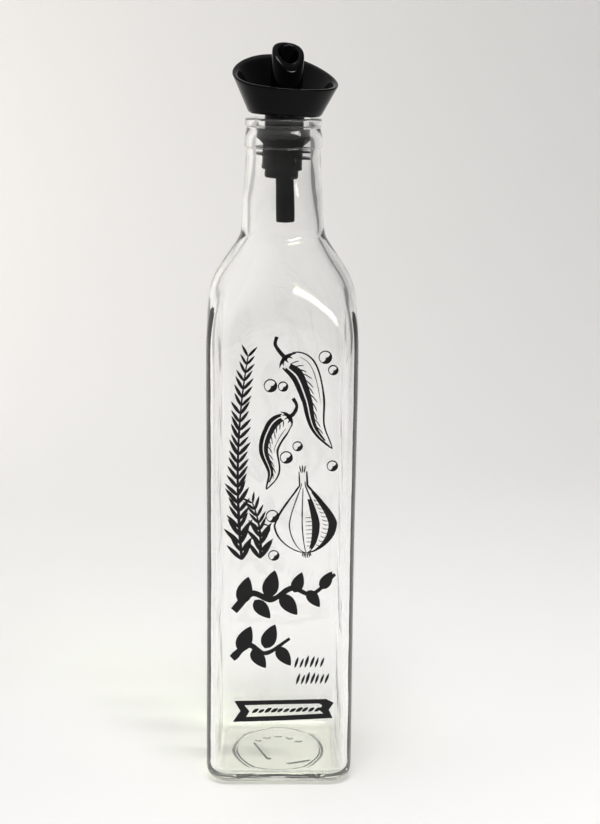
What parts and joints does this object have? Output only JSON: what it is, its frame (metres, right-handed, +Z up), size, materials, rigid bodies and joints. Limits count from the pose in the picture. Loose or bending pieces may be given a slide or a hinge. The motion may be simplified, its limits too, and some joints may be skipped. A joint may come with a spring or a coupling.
{
  "type": "square oil bottle",
  "caption": "Tall clear glass oil bottle with a square body, rounded shoulders and round neck, closed by a black push-in pourer with a drip cup and slanting spout.",
  "frame": {"origin": "centre of the bottle's foot, on the surface that it stands on", "axes": "+Z up along the bottle, -Y out of the printed front panel, +X to the right seen from the front"},
  "size_m": [0.0592, 0.0592, 0.2933],
  "materials": {
    "glass": "clear moulded soda-lime glass with a faint green tint and a dark screen print on the front",
    "pourer": "glossy black moulding",
    "plug": "soft black satin",
    "tube": "black extruded tube, satin"
  },
  "bodies": {
    "root": {"bottle": "glass", "pourer": "pourer", "plug": "plug", "tube": "tube"}
  },
  "joints": []
}
